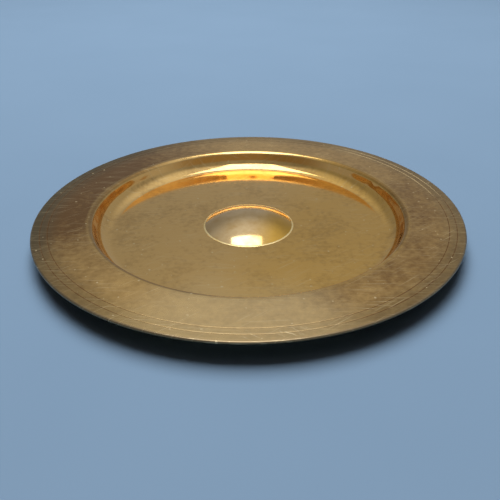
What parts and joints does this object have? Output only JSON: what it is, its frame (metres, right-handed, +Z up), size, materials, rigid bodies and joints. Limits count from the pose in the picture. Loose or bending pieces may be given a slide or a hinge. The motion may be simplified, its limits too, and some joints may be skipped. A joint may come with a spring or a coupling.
{
  "type": "thali plate",
  "caption": "Round spun brass serving plate with a wide rim, incised lines near its wired edge, a coved flat well and a domed boss in the middle.",
  "frame": {"origin": "centre of the underside of the well, on the surface that the plate stands on", "axes": "+Z up along the axis of the plate; +X to the right and +Y away from the viewer in the picture"},
  "size_m": [0.305, 0.305, 0.015],
  "materials": {
    "dish_brass": "spun and polished brass with a light brown tarnish and fine scratches",
    "wire_steel": "drawn steel wire, hidden in the curled edge",
    "boss_brass": "spun and polished brass, brighter than the dish",
    "solder": "smooth bright solder, coloured to match the brass"
  },
  "bodies": {
    "root": {"dish": "dish_brass", "rim_wire": "wire_steel", "boss": "boss_brass", "boss_solder": "solder"}
  },
  "joints": []
}
